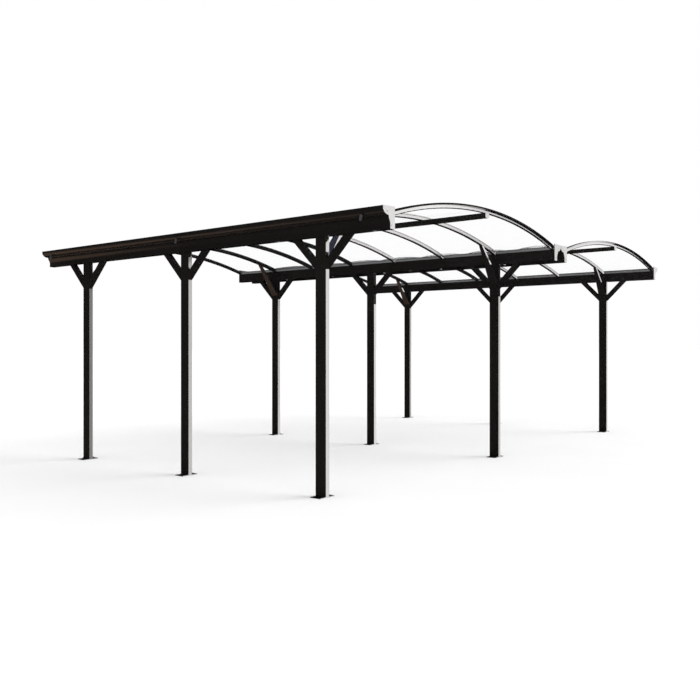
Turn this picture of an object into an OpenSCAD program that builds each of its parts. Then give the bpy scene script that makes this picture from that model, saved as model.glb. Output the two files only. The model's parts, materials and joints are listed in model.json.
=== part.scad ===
// Double carport: two arched bays side by side on three rows of posts.
// X runs across the bays, Y along the roof, Z up; the feet stand on Z = 0.

/* [Bays] */
// Clear width of a bay between the flat walls of its gutters
bay_w = 2975; // [2400:5:3600]
// Distance between the centres of neighbouring ribs
rib_pitch = 700; // [600:5:850]
// Number of roof sheets along a bay
sheet_count = 7; // [5:1:9]
// Rise of the roof sheets from the gutter wall to the crown
arch_rise = 210; // [150:1:320]

/* [Posts] */
// Length of a post between its foot plate and the gutter
post_len = 2200; // [2000:5:2600]
// Side of a post along the roof
post_d = 115; // [90:1:140]
// Side of a post across the roof
post_w = 50; // [40:1:60]
// Wall of the post tube
post_wall = 3; // [2:0.5:5]
// Radius of the post's corners
post_r = 5; // [4:0.5:8]
// Shift of the middle posts towards the rear
middle_shift = 34; // [-100:1:100]

/* [Feet] */
// Reach of a foot plate past each broad face of its post
foot_reach = 68; // [50:1:90]
// Thickness of a foot plate
foot_t = 6; // [4:1:12]
// Diameter of the anchor holes
foot_hole_d = 13; // [9:1:18]
// Distance from the end of a foot plate to its anchor hole
foot_hole_in = 34; // [25:1:40]

/* [Gutters] */
// Width of a gutter from its flat wall to its lip
gutter_w = 161; // [150:1:190]
// Width of the flat bottom that rests on the posts
gutter_seat = 62; // [60:1:75]
// Wall of the gutter section
gutter_t = 3; // [2:0.5:4]
// Height of the flat wall that faces the bay
gutter_wall_h = 120; // [115:1:160]
// Height of the lip
gutter_lip_h = 174; // [160:1:190]
// Height of the plain foot of the moulded face
gutter_foot_h = 40; // [30:1:50]
// Height of the hollow sweep of the moulded face
sweep_h = 66; // [50:1:72]
// Reach of the hollow sweep
sweep_w = 23; // [15:1:30]
// Flat step between the sweep and the round
step_w = 3; // [2:0.5:6]
// Straight edge above the round
lip_edge = 9; // [5:1:12]
// Length of a gutter past the centre of the end rib
gutter_over = 34; // [30:1:60]
// Thickness of the end caps
cap_t = 6; // [3:1:8]
// Height of an end cap above the lip
cap_rise = 2; // [0:0.5:6]
// Height of an end cap above the lip where it meets the flat wall
cap_wall_rise = 8; // [4:0.5:16]
// Height of the bead along the top of an end cap at its lip
cap_bead = 4; // [2:0.5:6]
// Reach of that bead past the edge under it
cap_bead_out = 2; // [1:0.5:4]
// Outside diameter of the spacers between the centre gutters
spacer_d = 26; // [20:1:30]
// Bore of the spacers
spacer_bore = 11; // [8:1:13]
// Number of spacers along the roof
spacer_count = 5; // [3:1:9]

/* [Roof] */
// Width of a rib
rib_w = 40; // [34:1:50]
// Width of an end rib
end_rib_w = 25; // [20:1:34]
// Depth of a rib
rib_h = 32; // [25:1:45]
// Wall of the rib tube
rib_wall = 2.5; // [2:0.5:4]
// Radius of a rib's lower corners
rib_r = 7; // [4:0.5:9]
// Thickness of the roof sheets
sheet_t = 4; // [3:0.5:6]
// Gap between neighbouring sheets over a rib
sheet_gap = 8; // [4:1:14]
// Reach of the sheets past the flat wall into the gutter
sheet_lap = 30; // [20:1:45]
// Width of a cover strip at its foot
strip_w = 40; // [30:1:60]
// Height of a cover strip
strip_h = 8; // [6:0.5:12]
// Lean of a cover strip's sides in degrees
strip_lean = 1.5; // [0:0.5:15]
// Bevel along the top edges of strips and trims
strip_bevel = 2; // [1:0.5:3]
// Wall of strips and trims
strip_wall = 1.6; // [1.2:0.1:2.5]
// Reach of a cover strip past the flat wall
strip_lap = 12; // [5:1:18]
// Height of the eave seal between gutter wall and sheet
seal_h = 24; // [16:0.5:32]
// Width of the eave seal
seal_w = 12; // [8:1:16]
// Room between the curved faces of rib, sheet and strip, and between neighbouring caps
seat_gap = 0.2; // [0.1:0.1:0.3]
// Height of an edge trim above the sheets
trim_h = 11; // [8:0.5:16]
// Width of an edge trim's box over the sheet
trim_w = 40; // [30:1:60]
// Thickness of the edge trim's lower leg
trim_leg = 1.2; // [1:0.1:3]
// Lean of the edge trim's nose in degrees
trim_lean = 9; // [0:0.5:15]

/* [Purlins] */
// Width of a ridge purlin
purlin_w = 70; // [50:1:90]
// Height of a ridge purlin
purlin_h = 46; // [36:1:60]
// Radius of the purlin's lower corners
purlin_r = 16; // [8:1:18]
// Wall of the purlin tube
purlin_wall = 2.5; // [2:0.5:4]

/* [Braces] */
// Reach of a knee brace along the gutter, and its drop down the post
knee_reach = 276; // [220:1:340]
// Depth of a knee brace
knee_h = 57; // [40:1:70]
// Width of a knee brace
knee_w = 46; // [36:1:60]
// Reach of an arch brace into the bay
brace_reach = 309; // [240:1:380]
// Drop of an arch brace below the gutter
brace_drop = 221; // [160:1:300]
// Thickness of an arch brace
brace_t = 24; // [18:1:32]
// Width of an arch brace where it meets its rib
brace_top_w = 38; // [30:1:60]
// Wall of the brace tubes
brace_wall = 2.5; // [2:0.5:4]

/* [Hidden] */
// Fineness of the large arcs and of the small round edges
arch_fn = 720;
round_fn = 48;
// Points along a moulded curve, and how far a cut runs past a face
curve_n = 10;
cut = 1;

paint = [0.15, 0.12, 0.11];
paint_light = [0.55, 0.54, 0.53];
clear_sheet = [0.86, 0.87, 0.90, 0.35];
seal_grey = [0.42, 0.42, 0.43];

// Places along the roof
roof_half = sheet_count * rib_pitch / 2;
gutter_half = roof_half + gutter_over;
end_face = roof_half + rib_w / 2;
post_y = roof_half - rib_pitch;
inner_ribs = [for (i = [1:sheet_count - 1]) i * rib_pitch - roof_half];

// Heights
beam_z = foot_t + post_len;
wall_top_z = beam_z + gutter_wall_h;
eave_z = wall_top_z + seal_h;

// Flat gutter walls from left to right, and the side that each gutter lies on
wall_x = [-gutter_w - bay_w, -gutter_w, gutter_w, gutter_w + bay_w];
wall_side = [-1, 1, -1, 1];
bay_x = [-gutter_w - bay_w / 2, gutter_w + bay_w / 2];

// Rows of posts, by the wall that each stands under
ROWS = ["left", "middle", "right"];
row_wall = [0, 1, 3];
STATIONS = ["front", "middle", "rear"];
station_y = [-post_y, middle_shift, post_y];
SIDES = ["left", "right"];
ENDS = ["front", "rear"];
GUTTERS = ["gutter_left", "gutter_centre_left", "gutter_centre_right", "gutter_right"];

// Arch: the radius of the sheets' lower face, and the layers under and over it
half_span = bay_w / 2;
sheet_r = (half_span * half_span + arch_rise * arch_rise) / (2 * arch_rise);
arch_z = eave_z + arch_rise - sheet_r;
rib_top_r = sheet_r - seat_gap;
rib_low_r = rib_top_r - rib_h;
sheet_top_r = sheet_r + sheet_t;
strip_low_r = sheet_top_r + seat_gap;
trim_top_r = strip_low_r + trim_h;

// Height of an arc of radius r at a distance x from the middle of its bay
function arc_z(r, x) = arch_z + sqrt(r * r - x * x);

// Angle that an arc of radius r spans out to a distance x each way
function arc_angle(r, x) = 2 * asin(x / r);

purlin_top_z = arc_z(rib_low_r, purlin_w / 2);

// Left-hand normal of the step from a to b
function left_normal(a, b) = let (d = b - a) [-d[1], d[0]] / norm(d);

// Offset of corner i of a path to its left, mitred between its two steps
function mitre(path, i) =
    let (last = len(path) - 1,
         before = left_normal(path[max(i - 1, 0)], path[max(i, 1)]),
         after = left_normal(path[min(i, last - 1)], path[min(i + 1, last)]))
    (before + after) / (1 + before * after);

// Outline of a wall of thickness t to the left of a path
function wall_outline(path, t) =
    let (last = len(path) - 1)
    concat(path, [for (i = [last:-1:0]) path[i] + t * mitre(path, i)]);

// Moulded face of a gutter, from its foot to its lip: sweep, step and quarter round
sweep_top = gutter_foot_h + sweep_h;
round_w = gutter_w - gutter_seat - sweep_w - step_w;
round_h = gutter_lip_h - lip_edge - sweep_top;
sweep_path = [for (i = [0:curve_n])
    [gutter_seat + sweep_w * (1 - cos(180 * i / curve_n)) / 2,
     gutter_foot_h + sweep_h * i / curve_n]];
round_path = [for (i = [0:curve_n])
    [gutter_w - round_w * (1 - sin(90 * i / curve_n)),
     sweep_top + round_h * (1 - cos(90 * i / curve_n))]];
moulded_face = concat([[gutter_seat, 0]], sweep_path, round_path, [[gutter_w, gutter_lip_h]]);
gutter_path = concat([[0, gutter_wall_h], [0, 0]], moulded_face);

// Outline of an end cap: the moulded face up to the bead, and a top edge that climbs to the flat wall
cap_h = gutter_lip_h + cap_rise;
cap_w = gutter_w - seat_gap;
cap_edge = cap_w - cap_bead_out;
cap_face = [for (i = [0:len(moulded_face) - 2]) [min(moulded_face[i][0], cap_edge), moulded_face[i][1]]];
cap_bead_edge = [[cap_edge, cap_h - cap_bead], [cap_w, cap_h - cap_bead], [cap_w, cap_h]];
cap_outline = concat([[0, gutter_lip_h + cap_wall_rise], [0, 0]], cap_face, cap_bead_edge);

// Frame of a gutter wall: x runs away from its bay, 0 on the wall's face
module on_wall(wall) {
    translate([wall_x[wall], 0, 0])
        if (wall_side[wall] < 0) mirror([1, 0, 0]) children();
        else children();
}

// Section in x and z, drawn out along the roof to half_len each way
module along_roof(half_len) {
    rotate([90, 0, 0]) linear_extrude(2 * half_len, center = true) children();
}

// Section in y and z, drawn out across the roof to a width
module across_roof(width) {
    rotate([90, 0, 90]) linear_extrude(width, center = true) children();
}

// Section in radius and y, swept round the arch of a bay out to a distance reach
module round_arch(side, r, reach) {
    angle = arc_angle(r, reach);
    translate([bay_x[side], 0, arch_z])
        rotate([0, -90, -90])
            rotate([0, 0, -angle / 2])
                rotate_extrude(angle = angle, $fn = arch_fn) children();
}

// Keeps what lies between the two flat walls of a bay
module between_walls(side) {
    intersection() {
        children();
        translate([bay_x[side] - half_span, -gutter_half - rib_pitch, beam_z])
            cube([bay_w, 2 * (gutter_half + rib_pitch), gutter_wall_h + seal_h + arch_rise + 2 * rib_h]);
    }
}

// Rectangle with round corners, centred
module round_rect(w, d, r) {
    square([w - 2 * r, d], center = true);
    square([w, d - 2 * r], center = true);
    for (x = [-1, 1]) for (y = [-1, 1])
        translate([x * (w / 2 - r), y * (d / 2 - r)]) circle(r, $fn = round_fn);
}

// Rectangular tube with round corners, standing on its foot plate
module post(row, station) {
    color(paint)
        on_wall(row_wall[row])
            translate([post_w / 2, station_y[station], foot_t])
                linear_extrude(post_len)
                    difference() {
                        round_rect(post_w, post_d, post_r);
                        round_rect(post_w - 2 * post_wall, post_d - 2 * post_wall, post_r - post_wall);
                    }
}

// Plates under the posts of a row, each with an anchor hole on both sides of its post
module foot_plates(row) {
    foot_w = post_w + 2 * foot_reach;
    hole_x = foot_w / 2 - foot_hole_in;
    color(paint)
        on_wall(row_wall[row])
            for (y = station_y)
                translate([post_w / 2, y, 0])
                    difference() {
                        translate([-foot_w / 2, -post_d / 2, 0]) cube([foot_w, post_d, foot_t]);
                        for (x = [-hole_x, hole_x])
                            translate([x, 0, -cut])
                                cylinder(d = foot_hole_d, h = foot_t + 2 * cut, $fn = round_fn);
                    }
}

// Gutter beam: flat wall to the bay, flat bottom and moulded outer face
module gutter(wall) {
    color(paint)
        on_wall(wall)
            translate([0, 0, beam_z])
                along_roof(gutter_half) polygon(wall_outline(gutter_path, gutter_t));
}

// Plates that close the gutters at one end of the roof
module gutter_caps(end) {
    color(paint_light)
        for (wall = [0:3])
            on_wall(wall)
                translate([0, (end == 0 ? -1 : 1) * (gutter_half + cap_t / 2), beam_z])
                    along_roof(cap_t / 2) polygon(cap_outline);
}

// Tubes between the plain feet of the two centre gutters
module gutter_spacers() {
    spacer_len = 2 * (gutter_w - gutter_seat);
    spacer_step = 2 * post_y / (spacer_count - 1);
    color(paint)
        for (i = [0:spacer_count - 1])
            translate([0, i * spacer_step - post_y, beam_z + gutter_foot_h / 2])
                rotate([0, 90, 0])
                    difference() {
                        cylinder(d = spacer_d, h = spacer_len, center = true, $fn = round_fn);
                        cylinder(d = spacer_bore, h = spacer_len + 2 * cut, center = true, $fn = round_fn);
                    }
}

// Strips on the flat walls of a bay that carry the edges of the sheets
module eave_seals(side) {
    low_side = arc_z(sheet_r, half_span + seal_w) - beam_z - seat_gap;
    high_side = arc_z(sheet_r, half_span) - beam_z - seat_gap;
    color(seal_grey)
        for (wall = [2 * side, 2 * side + 1])
            on_wall(wall)
                translate([0, 0, beam_z])
                    along_roof(gutter_half)
                        polygon([[0, gutter_wall_h], [seal_w, gutter_wall_h],
                                 [seal_w, low_side], [0, high_side]]);
}

// Slanted tube from the side of a post up to the gutter, mitred against both
module knee_brace() {
    rise = knee_h * sqrt(2);
    side_rise = brace_wall * sqrt(2);
    difference() {
        across_roof(knee_w)
            polygon([[0, -knee_reach], [knee_reach, 0], [knee_reach - rise, 0], [0, rise - knee_reach]]);
        across_roof(knee_w - 2 * brace_wall)
            polygon([[-cut, side_rise - knee_reach - cut], [knee_reach - side_rise + cut, cut],
                     [knee_reach - rise + side_rise + cut, cut],
                     [-cut, rise - side_rise - knee_reach - cut]]);
    }
}

// Knee braces on both sides of every post in a row
module knee_braces(row) {
    color(paint)
        on_wall(row_wall[row])
            for (y = station_y) for (way = [0, 1])
                translate([post_w / 2, y, beam_z])
                    mirror([0, way, 0])
                        translate([0, post_d / 2, 0]) knee_brace();
}

// Tapered bar along x: a width at its foot, another at a length, and a thickness over its lower face
module tapered_bar(foot_w, top_w, length, t) {
    slope = (foot_w - top_w) / 2 / length;
    far = length + 2 * brace_t;
    linear_extrude(t)
        polygon([[-cut, -foot_w / 2 - cut * slope], [far, -foot_w / 2 + far * slope],
                 [far, foot_w / 2 - far * slope], [-cut, foot_w / 2 + cut * slope]]);
}

// Tapered brace from the inner face of a post up to the underside of a rib
module arch_brace() {
    rib_z = arc_z(rib_low_r, half_span - brace_reach);
    foot_z = beam_z - brace_drop;
    length = norm([brace_reach, rib_z - foot_z]);
    angle = atan2(rib_z - foot_z, brace_reach);
    intersection() {
        mirror([1, 0, 0])
            translate([0, 0, foot_z])
                rotate([0, -angle, 0])
                    difference() {
                        tapered_bar(post_d, brace_top_w, length, brace_t);
                        translate([-cut, 0, brace_wall])
                            tapered_bar(post_d - 2 * brace_wall, brace_top_w - 2 * brace_wall,
                                        length, brace_t - 2 * brace_wall);
                    }
        translate([-half_span, 0, arch_z])
            rotate([90, 0, 0])
                cylinder(r = rib_low_r, h = 2 * post_d, center = true, $fn = arch_fn);
        translate([-half_span, -post_d, 0]) cube([half_span, 2 * post_d, eave_z + arch_rise]);
    }
}

// Arch braces at the front and rear posts of a row
module arch_braces(row) {
    color(paint)
        on_wall(row_wall[row])
            for (y = [-post_y, post_y])
                translate([0, y, 0]) arch_brace();
}

// Purlin section, its top edge on y = 0 and its lower corners round
module purlin_section(inset) {
    w = purlin_w - 2 * inset;
    r = purlin_r - inset;
    low = inset - purlin_h;
    translate([-w / 2, low + r]) square([w, -inset - low - r]);
    translate([r - w / 2, low]) square([w - 2 * r, r]);
    for (x = [-1, 1])
        translate([x * (w / 2 - r), low + r]) circle(r, $fn = round_fn);
}

// Hollow ridge purlin under the crown of a bay's ribs
module ridge_purlin(side) {
    color(paint)
        translate([bay_x[side], 0, purlin_top_z])
            along_roof(gutter_half)
                difference() {
                    purlin_section(0);
                    purlin_section(purlin_wall);
                }
}

// Plates that close the purlins at both ends
module purlin_caps() {
    color(paint_light)
        for (x = bay_x) for (way = [-1, 1])
            translate([x, way * (gutter_half + cap_t / 2), purlin_top_z])
                along_roof(cap_t / 2) purlin_section(0);
}

// Rib section in radius and y, its lower corners round, drawn in from the outline by an inset
module rib_section(w, inset) {
    r = rib_r - inset;
    h = rib_h - 2 * inset;
    side = w - 2 * inset;
    translate([inset, inset]) {
        translate([r, 0]) square([h - r, side]);
        translate([0, r]) square([r, side - 2 * r]);
        for (y = [r, side - r]) translate([r, y]) circle(r, $fn = round_fn);
    }
}

// Arched tube of a width w with one face at y
module rib_tube(side, y, w) {
    between_walls(side)
        round_arch(side, rib_low_r, half_span + rib_h)
            translate([rib_low_r, y])
                difference() {
                    rib_section(w, 0);
                    rib_section(w, rib_wall);
                }
}

// Ribs under the joints between the sheets of a bay
module roof_ribs(side) {
    color(paint)
        for (y = inner_ribs) rib_tube(side, y - rib_w / 2, rib_w);
}

// Narrower ribs at the front and rear of a bay
module end_ribs(side) {
    color(paint) {
        rib_tube(side, -end_face, end_rib_w);
        rib_tube(side, end_face - end_rib_w, end_rib_w);
    }
}

// Arched clear sheets of a bay, one between each pair of ribs
module roof_sheets(side) {
    sheet_end = gutter_half - seat_gap;
    color(clear_sheet)
        for (i = [0:sheet_count - 1]) {
            low_y = i == 0 ? -sheet_end : i * rib_pitch - roof_half + sheet_gap / 2;
            high_y = i == sheet_count - 1 ? sheet_end : (i + 1) * rib_pitch - roof_half - sheet_gap / 2;
            round_arch(side, sheet_r, half_span + sheet_lap)
                translate([sheet_r, low_y]) square([sheet_t, high_y - low_y]);
        }
}

// Half of a strip's width at a height, with its sides leaning in
function strip_half(height) = strip_w / 2 - height * tan(strip_lean);

// Channel section of a cover strip in radius and y, open to the sheets
module strip_section() {
    shoulder = strip_h - strip_bevel;
    roof = strip_h - strip_wall;
    outer = [[0, strip_half(0)], [shoulder, strip_half(shoulder)],
             [strip_h, strip_half(strip_h) - strip_bevel]];
    inner = [[-cut, strip_half(-cut) - strip_wall], [shoulder, strip_half(shoulder) - strip_wall],
             [roof, strip_half(roof) - strip_bevel - strip_wall]];
    difference() {
        polygon(concat(outer, [for (i = [2:-1:0]) [outer[i][0], -outer[i][1]]]));
        polygon(concat(inner, [for (i = [2:-1:0]) [inner[i][0], -inner[i][1]]]));
    }
}

// Cover strips over the joints between the sheets
module cover_strips(side) {
    color(paint)
        for (y = inner_ribs)
            round_arch(side, strip_low_r, half_span + strip_lap)
                translate([strip_low_r, y]) strip_section();
}

// Trims on the outer edges of the end sheets: a hollow box on top, a leaning nose and a leg under the sheet
module edge_trims(side) {
    out = gutter_half + cap_t;
    in = out - trim_w;
    leg_top = sheet_r - seat_gap;
    leg_low = leg_top - trim_leg;
    leg_in = end_face + seat_gap;
    lean_top = out - (trim_top_r - strip_bevel - leg_low) * tan(trim_lean);
    box_low = strip_low_r + strip_wall;
    box_top = trim_top_r - strip_wall;
    color(paint)
        for (way = [-1, 1])
            between_walls(side)
                round_arch(side, strip_low_r, half_span + rib_h)
                    difference() {
                        polygon([[strip_low_r, way * in], [trim_top_r - strip_bevel, way * in],
                                 [trim_top_r, way * (in + strip_bevel)],
                                 [trim_top_r, way * (lean_top - strip_bevel)],
                                 [trim_top_r - strip_bevel, way * lean_top], [leg_low, way * out],
                                 [leg_low, way * leg_in], [leg_top, way * leg_in],
                                 [leg_top, way * gutter_half], [strip_low_r, way * gutter_half]]);
                        polygon([[box_low, way * (in + strip_wall)], [box_top, way * (in + strip_bevel)],
                                 [box_top, way * (lean_top - strip_bevel - strip_wall)],
                                 [box_low, way * (lean_top - strip_bevel - strip_wall)]]);
                    }
}

for (row = [0:2]) {
    for (station = [0:2])
        post(row, station);
    foot_plates(row);
    knee_braces(row);
    arch_braces(row);
}
for (wall = [0:3])
    gutter(wall);
for (end = [0, 1])
    gutter_caps(end);
for (side = [0, 1]) {
    eave_seals(side);
    ridge_purlin(side);
    roof_ribs(side);
    end_ribs(side);
    roof_sheets(side);
    cover_strips(side);
    edge_trims(side);
}
gutter_spacers();
purlin_caps();
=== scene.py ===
"""Looks of a double arched carport: finishes, fixings, stage, light and camera."""

import json
import logging
import math
from dataclasses import dataclass
from enum import Enum
from typing import Iterable, Sequence

import bmesh
import bpy
from mathutils import Matrix, Vector

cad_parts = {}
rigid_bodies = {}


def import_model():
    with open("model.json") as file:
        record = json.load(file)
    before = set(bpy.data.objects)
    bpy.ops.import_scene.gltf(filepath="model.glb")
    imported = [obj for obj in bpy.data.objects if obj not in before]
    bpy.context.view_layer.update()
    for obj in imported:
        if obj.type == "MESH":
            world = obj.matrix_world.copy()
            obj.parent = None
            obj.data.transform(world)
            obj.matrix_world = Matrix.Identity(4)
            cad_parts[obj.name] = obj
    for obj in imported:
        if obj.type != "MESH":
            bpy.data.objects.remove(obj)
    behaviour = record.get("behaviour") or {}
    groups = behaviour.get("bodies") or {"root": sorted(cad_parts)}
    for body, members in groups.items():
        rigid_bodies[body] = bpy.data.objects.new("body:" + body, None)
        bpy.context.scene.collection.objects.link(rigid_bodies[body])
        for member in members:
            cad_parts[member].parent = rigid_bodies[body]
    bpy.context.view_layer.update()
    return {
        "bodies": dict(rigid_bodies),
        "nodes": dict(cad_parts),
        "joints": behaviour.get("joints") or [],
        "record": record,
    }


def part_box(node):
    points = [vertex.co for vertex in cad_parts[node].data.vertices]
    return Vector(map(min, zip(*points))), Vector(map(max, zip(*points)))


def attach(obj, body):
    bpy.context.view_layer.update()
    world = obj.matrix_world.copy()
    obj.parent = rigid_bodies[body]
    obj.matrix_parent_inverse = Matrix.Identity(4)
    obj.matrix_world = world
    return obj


LOG = logging.getLogger("carport")

ROWS = ("left", "middle", "right")
STATIONS = ("front", "middle", "rear")
SIDES = ("left", "right")
GUTTERS = ("gutter_left", "gutter_centre_left", "gutter_centre_right", "gutter_right")
# Nodes that mirrored light passes by, so that they darken no lit face before them
UNMIRRORED = ("gutter_centre", "gutter_right", "gutter_spacers", "eave_seals")
# Part of a noise value's range that the finishes use
NOISE_SPAN = (0.3, 0.7)
# Height below which two levels of a small shape are the same, and its number of places
LEVEL_STEP = 1e-7
LEVEL_PLACES = 6

Colour = tuple[float, float, float]


class Slot(str, Enum):
    """Material slots of the record."""

    PAINT = "frame_paint"
    CAP = "end_cap"
    SHEET = "roof_sheet"
    SEAL = "eave_seal"

    @classmethod
    def of_node(cls, name: str) -> "Slot":
        """Find the slot of a CAD node.

        Args:
            name: Name of the node.

        Returns:
            Its slot.
        """
        special = {
            "gutter_caps": cls.CAP,
            "purlin_caps": cls.CAP,
            "roof_sheets": cls.SHEET,
            "eave_seals": cls.SEAL,
        }
        return next((slot for start, slot in special.items() if name.startswith(start)), cls.PAINT)


class Graph:
    """Node tree of one material, with short calls for the nodes that the finishes share."""

    def __init__(self, name: str) -> None:
        """Start an empty material.

        Args:
            name: Name of the material.
        """
        self.material = bpy.data.materials.new(name)
        self.material.use_nodes = True
        self.tree = self.material.node_tree
        self.tree.nodes.clear()
        self.output = self.tree.nodes.new("ShaderNodeOutputMaterial")
        self.coords = self.tree.nodes.new("ShaderNodeTexCoord").outputs["Object"]

    def node(self, kind: str, **settings: object) -> bpy.types.Node:
        """Add a node.

        Args:
            kind: Node type.
            settings: Properties to set on it.

        Returns:
            The new node.
        """
        made = self.tree.nodes.new(kind)
        for key, value in settings.items():
            setattr(made, key, value)
        return made

    def link(self, source: bpy.types.NodeSocket, target: bpy.types.NodeSocket) -> None:
        """Join two sockets.

        Args:
            source: Output socket.
            target: Input socket.
        """
        self.tree.links.new(source, target)

    def noise(
        self, scale: float, detail: float = 3.0, stretch: Sequence[float] = (1.0, 1.0, 1.0)
    ) -> bpy.types.NodeSocket:
        """Add a noise in object coordinates.

        Args:
            scale: Cells to a metre.
            detail: Octaves of the noise.
            stretch: Scale along each axis.

        Returns:
            The noise value, around 0.5.
        """
        mapping = self.node("ShaderNodeMapping")
        mapping.inputs["Scale"].default_value = stretch
        self.link(self.coords, mapping.inputs["Vector"])
        noise = self.node("ShaderNodeTexNoise")
        noise.inputs["Scale"].default_value = scale
        noise.inputs["Detail"].default_value = detail
        self.link(mapping.outputs["Vector"], noise.inputs["Vector"])
        return noise.outputs["Fac"]

    def spread(self, value: bpy.types.NodeSocket, low: float, high: float) -> bpy.types.NodeSocket:
        """Map a noise value to a range.

        Args:
            value: Noise value.
            low: Result at the noise's lower part.
            high: Result at its upper part.

        Returns:
            The mapped value.
        """
        ramp = self.node("ShaderNodeMapRange")
        for name, limit in zip(("From Min", "From Max", "To Min", "To Max"), (*NOISE_SPAN, low, high)):
            ramp.inputs[name].default_value = limit
        self.link(value, ramp.inputs["Value"])
        return ramp.outputs["Result"]

    def tint(self, value: bpy.types.NodeSocket, dark: Colour, light: Colour) -> bpy.types.NodeSocket:
        """Turn a noise value into a colour between two others.

        Args:
            value: Noise value.
            dark: Linear colour at its lower part.
            light: Linear colour at its upper part.

        Returns:
            The colour.
        """
        ramp = self.node("ShaderNodeValToRGB")
        first, last = ramp.color_ramp.elements
        first.position, last.position = NOISE_SPAN
        first.color = (*dark, 1.0)
        last.color = (*light, 1.0)
        self.link(value, ramp.inputs["Fac"])
        return ramp.outputs["Color"]

    def bump(
        self, height: bpy.types.NodeSocket, distance: float, strength: float
    ) -> bpy.types.NodeSocket:
        """Turn a height into a shading normal.

        Args:
            height: Height value.
            distance: Depth of the relief in metres.
            strength: Share of the relief that shows.

        Returns:
            The normal.
        """
        bump = self.node("ShaderNodeBump")
        bump.inputs["Distance"].default_value = distance
        bump.inputs["Strength"].default_value = strength
        self.link(height, bump.inputs["Height"])
        return bump.outputs["Normal"]


@dataclass(frozen=True)
class Finish:
    """A surface: two close colours that drift into each other, a gloss that varies and a fine relief."""

    name: str
    dark: Colour
    light: Colour
    drift: float
    gloss: tuple[float, float]
    gloss_scale: float
    grain: float
    grain_depth: float
    metallic: float = 0.0
    alpha: float = 1.0
    specular: float = 0.5

    def build(self) -> bpy.types.Material:
        """Make the material.

        Returns:
            A material with a principled shader.
        """
        graph = Graph(self.name)
        shader = graph.node("ShaderNodeBsdfPrincipled")
        shader.inputs["Metallic"].default_value = self.metallic
        shader.inputs["Alpha"].default_value = self.alpha
        shader.inputs["Specular IOR Level"].default_value = self.specular
        colour = graph.tint(graph.noise(self.drift), self.dark, self.light)
        rough = graph.spread(graph.noise(self.gloss_scale), *self.gloss)
        relief = graph.bump(graph.noise(self.grain, detail=2.0), distance=self.grain_depth, strength=1.0)
        graph.link(colour, shader.inputs["Base Color"])
        graph.link(rough, shader.inputs["Roughness"])
        graph.link(relief, shader.inputs["Normal"])
        graph.link(shader.outputs["BSDF"], graph.output.inputs["Surface"])
        return graph.material


@dataclass(frozen=True)
class Matt:
    """A matt surface of the stage: two close greys that drift into each other."""

    name: str
    dark: float
    light: float
    drift: float

    def build(self) -> bpy.types.Material:
        """Make the material.

        Returns:
            A material with a diffuse shader.
        """
        graph = Graph(self.name)
        shader = graph.node("ShaderNodeBsdfDiffuse")
        colour = graph.tint(graph.noise(self.drift), (self.dark,) * 3, (self.light,) * 3)
        graph.link(colour, shader.inputs["Color"])
        graph.link(shader.outputs["BSDF"], graph.output.inputs["Surface"])
        return graph.material


PAINT = Finish(
    "powder_coat",
    dark=(0.0094, 0.0086, 0.0081), light=(0.0124, 0.0112, 0.0104), drift=1.3,
    gloss=(0.11, 0.15), gloss_scale=9.0, grain=420.0, grain_depth=0.000004,
)
CAP_PLASTIC = Finish(
    "cap_plastic",
    dark=(0.0105, 0.0096, 0.0090), light=(0.0140, 0.0127, 0.0118), drift=6.0,
    gloss=(0.15, 0.21), gloss_scale=40.0, grain=700.0, grain_depth=0.000006,
)
CLEAR = Finish(
    "clear_sheet",
    dark=(0.92, 0.93, 0.96), light=(0.95, 0.955, 0.98), drift=2.0,
    gloss=(0.20, 0.26), gloss_scale=5.0, grain=3.0, grain_depth=0.00003,
    alpha=0.05, specular=0.0,
)
SEAL = Finish(
    "eave_rubber",
    dark=(0.150, 0.150, 0.153), light=(0.195, 0.195, 0.199), drift=4.0,
    gloss=(0.60, 0.75), gloss_scale=60.0, grain=900.0, grain_depth=0.00005,
    specular=0.25,
)
DARK_STEEL = Finish(
    "blackened_steel",
    dark=(0.055, 0.052, 0.050), light=(0.085, 0.080, 0.076), drift=30.0,
    gloss=(0.30, 0.42), gloss_scale=120.0, grain=800.0, grain_depth=0.00002,
    metallic=1.0,
)
ZINC = Finish(
    "zinc_clip",
    dark=(0.050, 0.050, 0.053), light=(0.080, 0.080, 0.084), drift=90.0,
    gloss=(0.42, 0.55), gloss_scale=200.0, grain=600.0, grain_depth=0.00002,
)
FLOOR = Matt("pale_floor", dark=0.97, light=0.99, drift=0.8)
# Matt black of the cards that paint shadows into the reflections of the post heads and roof edges
SHADOW_CARD_MATT = Matt("painted_shadow_card_matt", dark=0.008, light=0.014, drift=20.0)
NODE_FINISH = {
    Slot.PAINT: PAINT,
    Slot.CAP: CAP_PLASTIC,
    Slot.SHEET: CLEAR,
    Slot.SEAL: SEAL,
}


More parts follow.
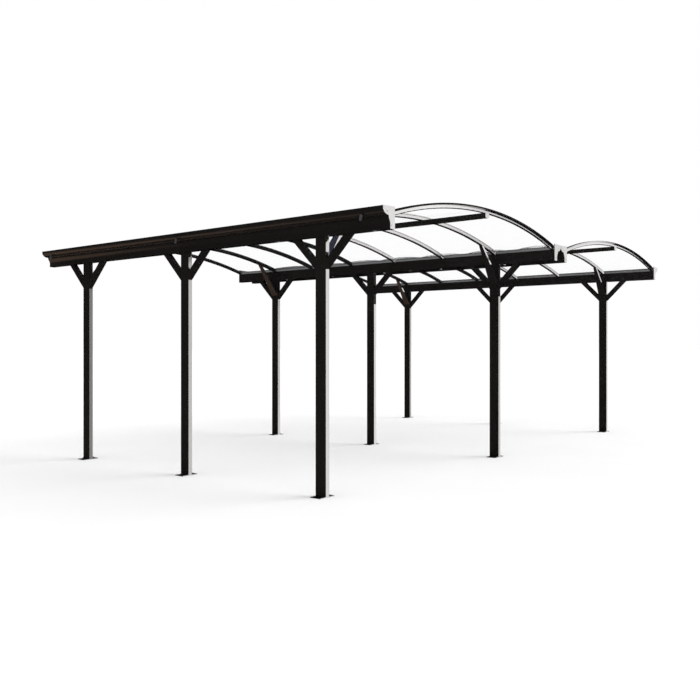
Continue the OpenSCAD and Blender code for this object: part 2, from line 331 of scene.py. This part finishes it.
@dataclass(frozen=True)
class Arch:
    """Circle that the roof of one bay follows, in metres."""

    SOLVE_STEPS = 6

    middle_x: float
    middle_z: float
    radius: float

    @classmethod
    def of_sheets(cls, node: str, thickness: float) -> "Arch":
        """Find the circle of the sheets' lower face from the box of their node.

        Args:
            node: Name of the CAD node with the sheets.
            thickness: Thickness of a sheet.

        Returns:
            The circle.
        """
        low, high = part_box(node)
        half = (high.x - low.x) / 2
        rise = high.z - low.z - thickness
        angle = 0.0
        for _ in range(cls.SOLVE_STEPS):
            angle = 2 * math.atan(rise / (half - thickness * math.sin(angle)))
        radius = half / math.sin(angle) - thickness
        return cls((low.x + high.x) / 2, high.z - thickness - radius, radius)

    def frame(self, distance: float, y: float, lift: float) -> Matrix:
        """Frame on the arch, its z axis pointing outwards.

        Args:
            distance: Way along the arch from its crown.
            y: Place along the roof.
            lift: Distance outside the sheets' lower face.

        Returns:
            The frame as a matrix.
        """
        angle = distance / self.radius
        reach = self.radius + lift
        x = self.middle_x + reach * math.sin(angle)
        z = self.middle_z + reach * math.cos(angle)
        return Matrix.Translation((x, y, z)) @ Matrix.Rotation(angle, 4, "Y")


@dataclass(frozen=True)
class Layout:
    """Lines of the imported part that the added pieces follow, in metres."""

    posts: dict[tuple[str, str], tuple[Vector, Vector]]
    walls: dict[str, tuple[float, float]]
    beam_z: float
    end_y: float
    arches: dict[str, Arch]
    rib_pitch: float = 0.700
    rib_count: int = 6
    rib_half: float = 0.020
    end_rib_w: float = 0.025
    sheet_t: float = 0.004
    strip_top: float = 0.0122
    foot_t: float = 0.006
    anchor_x: float = 0.059
    knee_w: float = 0.046

    @classmethod
    def of_frame(cls) -> "Layout":
        """Read the lines from the boxes of the CAD nodes.

        Returns:
            The layout.
        """
        posts = {(row, at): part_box(f"post_{row}_{at}") for row in ROWS for at in STATIONS}
        walls = {}
        for index, name in enumerate(GUTTERS):
            low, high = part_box(name)
            walls[name] = (high.x, -1.0) if index % 2 == 0 else (low.x, 1.0)
        return cls(
            posts=posts,
            walls=walls,
            beam_z=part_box("gutter_left")[0].z,
            end_y=-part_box("gutter_caps_front")[0].y,
            arches={side: Arch.of_sheets(f"roof_sheets_{side}", cls.sheet_t) for side in SIDES},
        )

    @property
    def rib_y(self) -> list[float]:
        """Places of the inner ribs along the roof."""
        first = -(self.rib_count - 1) / 2
        return [(first + i) * self.rib_pitch for i in range(self.rib_count)]


def aim(spot: Sequence[float], normal: Sequence[float], turn: float = 0.0) -> Matrix:
    """Frame at a spot with its z axis along a normal.

    Args:
        spot: Place in the shared frame.
        normal: Direction of the z axis.
        turn: Turn about that axis, in radians.

    Returns:
        The frame as a matrix.
    """
    swing = Vector(normal).to_track_quat("Z", "Y").to_matrix().to_4x4()
    return Matrix.Translation(Vector(spot)) @ swing @ Matrix.Rotation(turn, 4, "Z")


@dataclass(frozen=True)
class Drum:
    """Closed drum or prism with a softened top edge, in metres."""

    sides: int
    radius: float
    top: float
    foot: float
    height: float
    edge: float

    def add(self, bm: bmesh.types.BMesh) -> bmesh.types.BMFace:
        """Add the drum to a mesh.

        Args:
            bm: Mesh to add to.

        Returns:
            The top face.
        """
        made = bmesh.ops.create_cone(
            bm, cap_ends=True, segments=self.sides, radius1=self.radius, radius2=self.top, depth=self.height,
            matrix=Matrix.Translation((0, 0, self.foot + self.height / 2)),
        )
        level = self.foot + self.height - LEVEL_STEP
        edges = {edge for vert in made["verts"] for edge in vert.link_edges}
        rim = [edge for edge in edges if all(vert.co.z > level for vert in edge.verts)]
        bmesh.ops.bevel(
            bm, geom=rim, offset=self.edge, offset_type="OFFSET", segments=2, profile=0.5,
            affect="EDGES", clamp_overlap=True, material=-1,
        )
        return max(bm.faces, key=lambda f: (round(f.calc_center_median().z, LEVEL_PLACES), f.calc_area()))


# Washer, hexagon nut and stud end of an anchor bolt
ANCHOR = (
    Drum(sides=20, radius=0.0120, top=0.0120, foot=0.0, height=0.0025, edge=0.0005),
    Drum(sides=6, radius=0.0107, top=0.0107, foot=0.0025, height=0.0100, edge=0.0009),
    Drum(sides=12, radius=0.0058, top=0.0058, foot=0.0125, height=0.0060, edge=0.0009),
)
# Hexagon head screw on a pressed flange
HEX_SCREW = (
    Drum(sides=16, radius=0.0080, top=0.0070, foot=0.0, height=0.0012, edge=0.0004),
    Drum(sides=6, radius=0.0050, top=0.0050, foot=0.0012, height=0.0042, edge=0.0006),
)
# Hexagon head screw on a domed sealing washer
SEALED_SCREW = (
    Drum(sides=16, radius=0.0095, top=0.0075, foot=0.0, height=0.0022, edge=0.0006),
    Drum(sides=6, radius=0.0046, top=0.0046, foot=0.0022, height=0.0040, edge=0.0006),
)


class Shapes:
    """Small fixings, each standing on the plane z = 0 of its own frame."""

    PAN_SIDES = 14
    PAN_TAPER = 0.86
    PAN_ROUND = 0.45
    DRIVE_RIM = 0.38
    DRIVE_SLOPE = 0.04
    DRIVE_DEPTH = 0.45
    CLIP_EDGE = 0.003

    @classmethod
    def stack(cls, name: str, drums: Sequence[Drum]) -> bpy.types.Mesh:
        """Drums on top of each other.

        Args:
            name: Name of the mesh data.
            drums: The drums, each with its own foot.

        Returns:
            The mesh.
        """
        bm = bmesh.new()
        for drum in drums:
            drum.add(bm)
        return cls._mesh(bm, name)

    @classmethod
    def pan_screw(cls, radius: float, height: float) -> bpy.types.Mesh:
        """Round screw head with a sunk drive.

        Args:
            radius: Radius of the head.
            height: Height of the head.

        Returns:
            The mesh.
        """
        bm = bmesh.new()
        head = Drum(
            sides=cls.PAN_SIDES, radius=radius, top=radius * cls.PAN_TAPER, foot=0.0, height=height,
            edge=height * cls.PAN_ROUND,
        )
        bmesh.ops.inset_region(bm, faces=[head.add(bm)], thickness=radius * cls.DRIVE_RIM, depth=0.0)
        middles = {face: face.calc_center_median() for face in bm.faces}
        inner = max(middles, key=lambda f: (round(middles[f].z, LEVEL_PLACES), -middles[f].xy.length))
        bmesh.ops.inset_region(
            bm, faces=[inner], thickness=radius * cls.DRIVE_SLOPE, depth=-height * cls.DRIVE_DEPTH
        )
        return cls._mesh(bm, "pan_screw_shape")

    @classmethod
    def clip(cls, size: Sequence[float]) -> bpy.types.Mesh:
        """Small block with softened edges.

        Args:
            size: Its size along each axis.

        Returns:
            The mesh.
        """
        bm = bmesh.new()
        bmesh.ops.create_cube(bm, size=1.0, matrix=Matrix.Diagonal((*size, 1.0)))
        bmesh.ops.bevel(
            bm, geom=bm.edges[:], offset=cls.CLIP_EDGE, offset_type="OFFSET", segments=2, profile=0.5,
            affect="EDGES", clamp_overlap=True, material=-1,
        )
        return cls._mesh(bm, "clip_shape")

    @staticmethod
    def _mesh(bm: bmesh.types.BMesh, name: str) -> bpy.types.Mesh:
        """Turn a working mesh into mesh data.

        Args:
            bm: Working mesh, freed here.
            name: Name of the data.

        Returns:
            The mesh data.
        """
        bmesh.ops.recalc_face_normals(bm, faces=bm.faces)
        mesh = bpy.data.meshes.new(name)
        bm.to_mesh(mesh)
        bm.free()
        return mesh


class Fixings:
    """Many copies of small shapes, joined in one piece."""

    def __init__(self, name: str) -> None:
        """Start an empty piece.

        Args:
            name: Name of the piece.
        """
        self.name = name
        self.bm = bmesh.new()

    def put(self, shape: bpy.types.Mesh, places: Iterable[Matrix]) -> "Fixings":
        """Add a copy of a shape at each place.

        Args:
            shape: Mesh of the shape.
            places: Frames of the copies.

        Returns:
            The piece itself.
        """
        for place in places:
            known = len(self.bm.verts)
            self.bm.from_mesh(shape)
            self.bm.verts.ensure_lookup_table()
            bmesh.ops.transform(self.bm, matrix=place, verts=self.bm.verts[known:])
        return self

    def finish(self, material: bpy.types.Material, slot: Slot) -> bpy.types.Object:
        """Make the object and hang it on the part.

        Args:
            material: Finish of the piece.
            slot: Slot of the record that it follows; not used.

        Returns:
            The object.
        """
        mesh = bpy.data.meshes.new(self.name)
        self.bm.to_mesh(mesh)
        self.bm.free()
        mesh.materials.append(material)
        piece = bpy.data.objects.new(self.name, mesh)
        bpy.context.scene.collection.objects.link(piece)
        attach(piece, "root")
        LOG.info("%s: %d faces", self.name, len(mesh.polygons))
        return piece


class Carport:
    """Finishes of the CAD nodes, and the fixings that are added to them."""

    KNEE_SPOT = (0.102, -0.134)
    CAP_SPOTS = ((0.104, 0.134), (0.044, 0.028))
    CAP_SINK = 0.0016
    LEDGE_Y = (-2.262, 0.045, 2.320)
    CLIP_SPOT = (0.1477, 0.100)
    CLIP_LEAN = -0.25
    CLIP_SIZE = (0.016, 0.020, 0.050)
    CAP_SCREW = (0.0055, 0.0030)
    ANCHOR_TURN = 0.3
    SCREW_TURN = 0.4
    STRIP_STEP = 0.36
    STRIP_HALF = 4

    def __init__(self, frame: dict) -> None:
        """Keep the loaded frame.

        Args:
            frame: The loaded frame with its nodes.
        """
        self.frame = frame
        self.layout = Layout.of_frame()
        self.materials = {slot: finish.build() for slot, finish in NODE_FINISH.items()}
        self.steel = DARK_STEEL.build()

    def build(self) -> None:
        """Give every CAD node its finish and add the fixings."""
        self._paint_nodes()
        self._anchors()
        self._brace_screws()
        self._cap_screws()
        self._ledge_clips()
        self._strip_screws()

    def _paint_nodes(self) -> None:
        """Assign the finish of its slot to every CAD node, and keep some out of the mirrored light."""
        for name, node in self.frame["nodes"].items():
            node.visible_glossy = not name.startswith(UNMIRRORED)
            node.data.materials.clear()
            node.data.materials.append(self.materials[Slot.of_node(name)])

    def _anchors(self) -> None:
        """Anchor bolts on the foot plates."""
        lay = self.layout
        places = []
        for low, high in lay.posts.values():
            middle = (low + high) / 2
            for way in (-1, 1):
                spot = (middle.x + way * lay.anchor_x, middle.y, lay.foot_t)
                places.append(aim(spot, (0, 0, 1), way * self.ANCHOR_TURN))
        shape = Shapes.stack("anchor_shape", ANCHOR)
        Fixings("anchor_bolts").put(shape, places).finish(self.steel, Slot.PAINT)

    def _brace_screws(self) -> None:
        """Screws through the sides of the knee braces."""
        lay = self.layout
        along, drop = self.KNEE_SPOT
        places = []
        for low, high in lay.posts.values():
            x = (low.x + high.x) / 2
            for edge, way in ((low.y, -1), (high.y, 1)):
                for side in (-1, 1):
                    spot = (x + side * lay.knee_w / 2, edge + way * along, lay.beam_z + drop)
                    places.append(aim(spot, (side, 0, 0), self.SCREW_TURN))
        shape = Shapes.stack("hex_screw_shape", HEX_SCREW)
        Fixings("knee_brace_screws").put(shape, places).finish(self.materials[Slot.PAINT], Slot.PAINT)

    def _cap_screws(self) -> None:
        """Screws that hold the gutter caps."""
        lay = self.layout
        places = [
            aim((wall + side * out, way * (lay.end_y - self.CAP_SINK), lay.beam_z + up), (0, way, 0))
            for wall, side in lay.walls.values()
            for out, up in self.CAP_SPOTS
            for way in (-1, 1)
        ]
        shape = Shapes.pan_screw(*self.CAP_SCREW)
        Fixings("cap_screws").put(shape, places).finish(self.steel, Slot.PAINT)

    def _ledge_clips(self) -> None:
        """Clips under the quarter round of the two outer gutters."""
        lay = self.layout
        out, up = self.CLIP_SPOT
        places = []
        for name in (GUTTERS[0], GUTTERS[-1]):
            wall, side = lay.walls[name]
            for y in self.LEDGE_Y:
                spot = Matrix.Translation((wall + side * out, y, lay.beam_z + up))
                places.append(spot @ Matrix.Rotation(side * self.CLIP_LEAN, 4, "Y"))
        shape = Shapes.clip(self.CLIP_SIZE)
        Fixings("ledge_clips").put(shape, places).finish(ZINC.build(), Slot.PAINT)

    def _strip_screws(self) -> None:
        """Sealed screws along the cover strips."""
        lay = self.layout
        places = [
            arch.frame(step * self.STRIP_STEP, y, lay.strip_top)
            for arch in lay.arches.values()
            for y in lay.rib_y
            for step in range(-self.STRIP_HALF, self.STRIP_HALF + 1)
            if step
        ]
        shape = Shapes.stack("sealed_screw_shape", SEALED_SCREW)
        Fixings("strip_screws").put(shape, places).finish(self.steel, Slot.PAINT)


@dataclass(frozen=True)
class Field:
    """Lit field on the reflection wall.

    Its heading fades in between two values of the cosine to it, and its band between two sines of the height
    at each end.
    """

    heading: tuple[float, float]
    edge: tuple[float, float]
    band: tuple[float, float, float, float]
    colour: Colour
    strength: float

    @staticmethod
    def _ramp(
        graph: Graph, value: bpy.types.NodeSocket, low: float, high: float, top: float
    ) -> bpy.types.NodeSocket:
        """Smooth step of a value.

        Args:
            graph: Node tree to add to.
            value: Value to map.
            low: Value that gives 0.
            high: Value that gives the top.
            top: Highest result.

        Returns:
            The mapped value.
        """
        ramp = graph.node("ShaderNodeMapRange", interpolation_type="SMOOTHSTEP")
        ramp.inputs["From Min"].default_value = low
        ramp.inputs["From Max"].default_value = high
        ramp.inputs["To Max"].default_value = top
        graph.link(value, ramp.inputs["Value"])
        return ramp.outputs["Result"]

    @staticmethod
    def _product(
        graph: Graph, first: bpy.types.NodeSocket, second: bpy.types.NodeSocket
    ) -> bpy.types.NodeSocket:
        """Product of two values.

        Args:
            graph: Node tree to add to.
            first: One value.
            second: The other.

        Returns:
            Their product.
        """
        product = graph.node("ShaderNodeMath", operation="MULTIPLY")
        graph.link(first, product.inputs[0])
        graph.link(second, product.inputs[1])
        return product.outputs["Value"]

    def build(
        self, graph: Graph, level: bpy.types.NodeSocket, height: bpy.types.NodeSocket
    ) -> bpy.types.NodeSocket:
        """Make the light of the field.

        Args:
            graph: Node tree to add to.
            level: Level direction of a spot on the wall.
            height: Sine of its height.

        Returns:
            The emission.
        """
        facing = graph.node("ShaderNodeVectorMath", operation="DOT_PRODUCT")
        facing.inputs[1].default_value = (*self.heading, 0.0)
        graph.link(level, facing.inputs[0])
        low, low_full, high_full, high = self.band
        sideways = self._ramp(graph, facing.outputs["Value"], *self.edge, self.strength)
        rise = self._ramp(graph, height, low, low_full, 1.0)
        fall = self._ramp(graph, height, high, high_full, 1.0)
        light = graph.node("ShaderNodeEmission")
        light.inputs["Color"].default_value = (*self.colour, 1.0)
        window = self._product(graph, rise, fall)
        graph.link(self._product(graph, sideways, window), light.inputs["Strength"])
        return light.outputs["Emission"]


@dataclass(frozen=True)
class Flag:
    """Dark card before the head of a post, seen only in reflections: it paints the gutter's shadow on the
    post's head.

    Its span counts from the left side of the post. Its lower edge at both ends and its top count down from
    the gutter.
    """

    row: str
    station: str
    span: tuple[float, float]
    drop: tuple[float, float]
    top: float = 0.0


@dataclass(frozen=True)
class Shade:
    """Shaded band along the right half of a roof edge, by lifts above the sheets' lower face.

    Its near edge runs from the crown to the right end. The gap is the distance of its card before the face.
    """

    crown: float
    right: float
    far: float
    gap: float


class Studio:
    """Floor, reflection wall, dark cards, light and camera."""

    FLOOR_HALF = 120.0
    WALL_RADIUS = 60.0
    WALL_SIDES = 64
    WALL_LOW = -40.0
    WALL_HIGH = 200.0
    SUNLIGHT = (1.0, 0.985, 0.97)
    DUSK = (1.0, 0.62, 0.42)
    SKY = (0.55, 0.62, 1.0)
    FRONT_BAND = (-0.33, -0.22, 0.265, 0.315)
    RIGHT_BAND = (-0.33, -0.22, 0.170, 0.200)
    GROUND_BAND = (-0.985, -0.93, -0.17, 0.30)
    SKY_BAND = (0.60, 0.72, 2.0, 3.0)
    FIELDS = (
        Field((0.7071, -0.7071), edge=(0.9563, 0.9903), band=FRONT_BAND, colour=SUNLIGHT, strength=11.5),
        Field((0.9033, -0.4289), edge=(0.99377, 0.99939), band=FRONT_BAND, colour=SUNLIGHT, strength=5.2),
        Field((0.9703, -0.2419), edge=(0.98902, 0.99692), band=RIGHT_BAND, colour=SUNLIGHT, strength=3.1),
        Field((-0.30, 0.954), edge=(0.962, 0.990), band=GROUND_BAND, colour=DUSK, strength=0.40),
        Field((-0.05, 0.9987), edge=(0.55, 0.90), band=SKY_BAND, colour=SKY, strength=0.50),
    )
    # Painted shadows of the gutters on the heads of the posts, as dark cards seen in reflections
    FLAGS = (
        Flag("left", "front", span=(-0.010, 0.060), drop=(0.069, 0.008)),
        Flag("left", "front", span=(-0.010, 0.043), drop=(0.200, 0.200), top=0.131),
        Flag("left", "middle", span=(-0.010, 0.060), drop=(0.068, 0.028)),
        Flag("left", "rear", span=(-0.010, 0.060), drop=(0.292, 0.292)),
        Flag("middle", "front", span=(-0.220, 0.060), drop=(0.372, 0.372)),
        Flag("middle", "middle", span=(-0.010, 0.060), drop=(0.404, 0.404)),
        Flag("middle", "rear", span=(-0.150, 0.060), drop=(0.280, 0.280)),
        Flag("right", "front", span=(-0.260, -0.004), drop=(0.300, 0.300)),
        Flag("right", "rear", span=(-0.150, 0.060), drop=(0.294, 0.294)),
    )
    FLAG_GAP = 0.06
    RIB_MARGIN = 0.06
    # Painted shadows of the edge trims on the end ribs and the noses, on the right half of each arch
    RIB_SHADE = Shade(crown=0.002, right=-0.015, far=0.034, gap=0.03)
    SILL_SHADE = Shade(crown=-0.0250, right=-0.0215, far=-0.090, gap=0.03)
    NOSE_SHADE = Shade(crown=0.004, right=-0.002, far=0.034, gap=0.02)
    SHADE_REACH = 1.42
    SHADE_STEPS = 24
    LEG_LIFT = -0.0028
    LEG_SPAN = (0.0015, 0.0185)
    FILL = 0.80
    SUN = 1.2
    SUN_ANGLE = 40.0
    SUN_FROM = (0.45, -0.50, 0.74)
    CAMERA_AT = (-8.202, -6.124, 1.305)
    CAMERA_TURN = -51.104
    CAMERA_TILT = 90.0
    SENSOR = 36.0
    LENS = 40.384
    SHIFT = (-0.0007, -0.00973)
    FAR = 500.0

    def __init__(self, layout: Layout) -> None:
        """Keep the lines of the part.

        Args:
            layout: Lines that the cards follow.
        """
        self.layout = layout

    def build(self) -> None:
        """Make the whole stage."""
        self._floor()
        self._wall()
        self._shadow_cards()
        self._world()
        self._sun()
        self._camera()

    @staticmethod
    def _object(name: str, bm: bmesh.types.BMesh, material: bpy.types.Material) -> bpy.types.Object:
        """Make a stage object.

        Args:
            name: Name of the object.
            bm: Working mesh, freed here.
            material: Its material.

        Returns:
            The object.
        """
        mesh = bpy.data.meshes.new(name)
        bm.to_mesh(mesh)
        bm.free()
        mesh.materials.append(material)
        made = bpy.data.objects.new(name, mesh)
        bpy.context.scene.collection.objects.link(made)
        return made

    def _floor(self) -> None:
        """Pale floor that keeps the shadow of the part."""
        bm = bmesh.new()
        bmesh.ops.create_grid(bm, x_segments=1, y_segments=1, size=self.FLOOR_HALF)
        floor = self._object("floor", bm, FLOOR.build())
        floor.visible_glossy = False

    def _wall(self) -> None:
        """Round dark wall with lit fields, seen only in reflections."""
        graph = Graph("reflection_wall")
        unit = graph.node("ShaderNodeVectorMath", operation="NORMALIZE")
        flat = graph.node("ShaderNodeVectorMath", operation="MULTIPLY")
        flat.inputs[1].default_value = (1.0, 1.0, 0.0)
        level = graph.node("ShaderNodeVectorMath", operation="NORMALIZE")
        parts = graph.node("ShaderNodeSeparateXYZ")
        graph.link(graph.coords, unit.inputs[0])
        graph.link(graph.coords, flat.inputs[0])
        graph.link(flat.outputs["Vector"], level.inputs[0])
        graph.link(unit.outputs["Vector"], parts.inputs["Vector"])
        glow = None
        for field in self.FIELDS:
            shader = field.build(graph, level.outputs["Vector"], parts.outputs["Z"])
            if glow is not None:
                both = graph.node("ShaderNodeAddShader")
                graph.link(glow, both.inputs[0])
                graph.link(shader, both.inputs[1])
                shader = both.outputs["Shader"]
            glow = shader
        graph.link(glow, graph.output.inputs["Surface"])
        graph.material.cycles.emission_sampling = "NONE"
        bm = bmesh.new()
        bmesh.ops.create_circle(
            bm, cap_ends=True, segments=self.WALL_SIDES, radius=self.WALL_RADIUS,
            matrix=Matrix.Translation((0, 0, self.WALL_LOW)),
        )
        edges = [e for e in bm.edges if e.is_boundary]
        raised = bmesh.ops.extrude_edge_only(bm, edges=edges)["geom"]
        bmesh.ops.translate(
            bm, vec=(0, 0, self.WALL_HIGH - self.WALL_LOW),
            verts=[v for v in raised if isinstance(v, bmesh.types.BMVert)],
        )
        self._mirrored_only(self._object("reflection_wall", bm, graph.material))

    @staticmethod
    def _mirrored_only(made: bpy.types.Object) -> None:
        """Show a stage object in reflections only.

        Args:
            made: The object.
        """
        made.visible_camera = False
        made.visible_diffuse = False
        made.visible_transmission = False
        made.visible_shadow = False
        made.visible_volume_scatter = False

    def _before(self, spot: Vector, gap: float) -> Vector:
        """Way from a front face to where the camera's mirrored sight line passes a card.

        Args:
            spot: Spot on the face.
            gap: Distance of the card before the face.

        Returns:
            The way.
        """
        sight = spot - Vector(self.CAMERA_AT)
        return Vector((sight.x / sight.y, -1.0, sight.z / sight.y)) * gap

    def _card(
        self, bm: bmesh.types.BMesh, face: Vector, span: Sequence[float], lows: Sequence[float], top: float
    ) -> None:
        """Add a card that covers a part of a front face for the mirrored view.

        Args:
            bm: Mesh to add to.
            face: Spot in the middle of the face.
            span: Left and right end of the part.
            lows: Its lower edge at both ends.
            top: Its upper edge.
        """
        shift = self._before(face, self.FLAG_GAP)
        for vert in bmesh.ops.create_grid(bm, x_segments=1, y_segments=1, size=0.5)["verts"]:
            end = int(vert.co.x > 0)
            vert.co = shift + Vector((span[end], face.y, top if vert.co.y > 0 else lows[end]))

    def _edge_card(self, bm: bmesh.types.BMesh, arch: Arch, y: float, shade: Shade) -> None:
        """Add a curved card that shades the edge of the roof from the crown down to the right.

        Args:
            bm: Mesh to add to.
            arch: Circle of the bay.
            y: Face that is shaded.
            shade: Band of the shade.
        """
        for vert in bmesh.ops.create_grid(bm, x_segments=self.SHADE_STEPS, y_segments=1, size=0.5)["verts"]:
            part = vert.co.x + 0.5
            near = shade.crown + part * (shade.right - shade.crown)
            lift = shade.far if vert.co.y > 0 else near
            spot = arch.frame(part * self.SHADE_REACH, y, lift).translation
            vert.co = spot + self._before(spot, shade.gap)

    def _leg_card(self, bm: bmesh.types.BMesh, arch: Arch, y: float) -> None:
        """Add a curved card close under the leg of an edge trim, that paints shade on the top of the rib
        below it in reflections.

        Args:
            bm: Mesh to add to.
            arch: Circle of the bay.
            y: Front of the trim.
        """
        first, last = self.LEG_SPAN
        for vert in bmesh.ops.create_grid(bm, x_segments=self.SHADE_STEPS, y_segments=1, size=0.5)["verts"]:
            part = vert.co.x + 0.5
            reach = y + (last if vert.co.y > 0 else first)
            vert.co = arch.frame(part * self.SHADE_REACH, reach, self.LEG_LIFT).translation

    def _post_cards(self, bm: bmesh.types.BMesh) -> None:
        """Add the cards before the shaded heads of the posts.

        Args:
            bm: Mesh to add to.
        """
        lay = self.layout
        for flag in self.FLAGS:
            low, high = lay.posts[flag.row, flag.station]
            face = Vector(((low.x + high.x) / 2, low.y, lay.beam_z))
            span = [low.x + reach for reach in flag.span]
            self._card(bm, face, span, [lay.beam_z - drop for drop in flag.drop], lay.beam_z - flag.top)

    def _roof_cards(self, bm: bmesh.types.BMesh) -> None:
        """Add the cards that paint shade on the front edges of the roof and on its rear ribs.

        Args:
            bm: Mesh to add to.
        """
        lay = self.layout
        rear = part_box("end_ribs_left")[1].y - lay.end_rib_w
        rib_fronts = [rib - lay.rib_half for rib in lay.rib_y if rib > 0] + [rear]
        rib_low = lay.beam_z + self.RIB_MARGIN
        for side, arch in lay.arches.items():
            low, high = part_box(f"roof_sheets_{side}")
            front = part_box(f"end_ribs_{side}")[0].y
            self._edge_card(bm, arch, front, self.RIB_SHADE)
            self._edge_card(bm, arch, front, self.SILL_SHADE)
            self._leg_card(bm, arch, -lay.end_y)
            # Painted shade on the rear ribs
            for y in rib_fronts:
                face = Vector((arch.middle_x, y, low.z))
                self._card(bm, face, (low.x, high.x), (rib_low, rib_low), high.z + self.RIB_MARGIN)
        self._edge_card(bm, lay.arches["right"], -lay.end_y, self.NOSE_SHADE)

    def _shadow_cards(self) -> None:
        """Dark cards, seen only in reflections, that paint shadows on the shaded faces by keeping the lit
        fields off them.
        """
        bm = bmesh.new()
        self._post_cards(bm)
        self._roof_cards(bm)
        self._mirrored_only(self._object("painted_shadow_cards", bm, SHADOW_CARD_MATT.build()))

    def _world(self) -> None:
        """White surroundings for the eye, reflections and clear sheets, and an even fill."""
        world = bpy.data.worlds.new("studio")
        world.use_nodes = True
        bpy.context.scene.world = world
        tree = world.node_tree
        tree.nodes.clear()
        output = tree.nodes.new("ShaderNodeOutputWorld")
        back = tree.nodes.new("ShaderNodeBackground")
        back.inputs["Color"].default_value = (1.0, 1.0, 1.0, 1.0)
        path = tree.nodes.new("ShaderNodeLightPath")
        seen = path.outputs["Is Camera Ray"]
        for other in ("Is Glossy Ray", "Is Transmission Ray"):
            most = tree.nodes.new("ShaderNodeMath")
            most.operation = "MAXIMUM"
            tree.links.new(seen, most.inputs[0])
            tree.links.new(path.outputs[other], most.inputs[1])
            seen = most.outputs["Value"]
        level = tree.nodes.new("ShaderNodeMapRange")
        level.inputs["To Min"].default_value = self.FILL
        level.inputs["To Max"].default_value = 1.0
        tree.links.new(seen, level.inputs["Value"])
        tree.links.new(level.outputs["Result"], back.inputs["Strength"])
        tree.links.new(back.outputs["Background"], output.inputs["Surface"])

    def _sun(self) -> None:
        """Wide soft key light from the front right."""
        data = bpy.data.lights.new("key", "SUN")
        data.energy = self.SUN
        data.angle = math.radians(self.SUN_ANGLE)
        lamp = bpy.data.objects.new("key", data)
        lamp.rotation_euler = Vector(self.SUN_FROM).to_track_quat("Z", "Y").to_euler()
        bpy.context.scene.collection.objects.link(lamp)

    def _camera(self) -> None:
        """Camera that took the picture."""
        data = bpy.data.cameras.new("camera")
        data.sensor_width = self.SENSOR
        data.lens = self.LENS
        data.shift_x, data.shift_y = self.SHIFT
        data.clip_end = self.FAR
        camera = bpy.data.objects.new("camera", data)
        camera.location = self.CAMERA_AT
        camera.rotation_euler = (math.radians(self.CAMERA_TILT), 0.0, math.radians(self.CAMERA_TURN))
        bpy.context.scene.collection.objects.link(camera)
        bpy.context.scene.camera = camera


def main() -> None:
    """Build the looks of the part and its stage."""
    logging.basicConfig(level=logging.INFO)
    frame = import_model()
    carport = Carport(frame)
    carport.build()
    Studio(carport.layout).build()
    bpy.context.scene.view_settings.view_transform = "Standard"


if __name__ == "__main__":
    main()
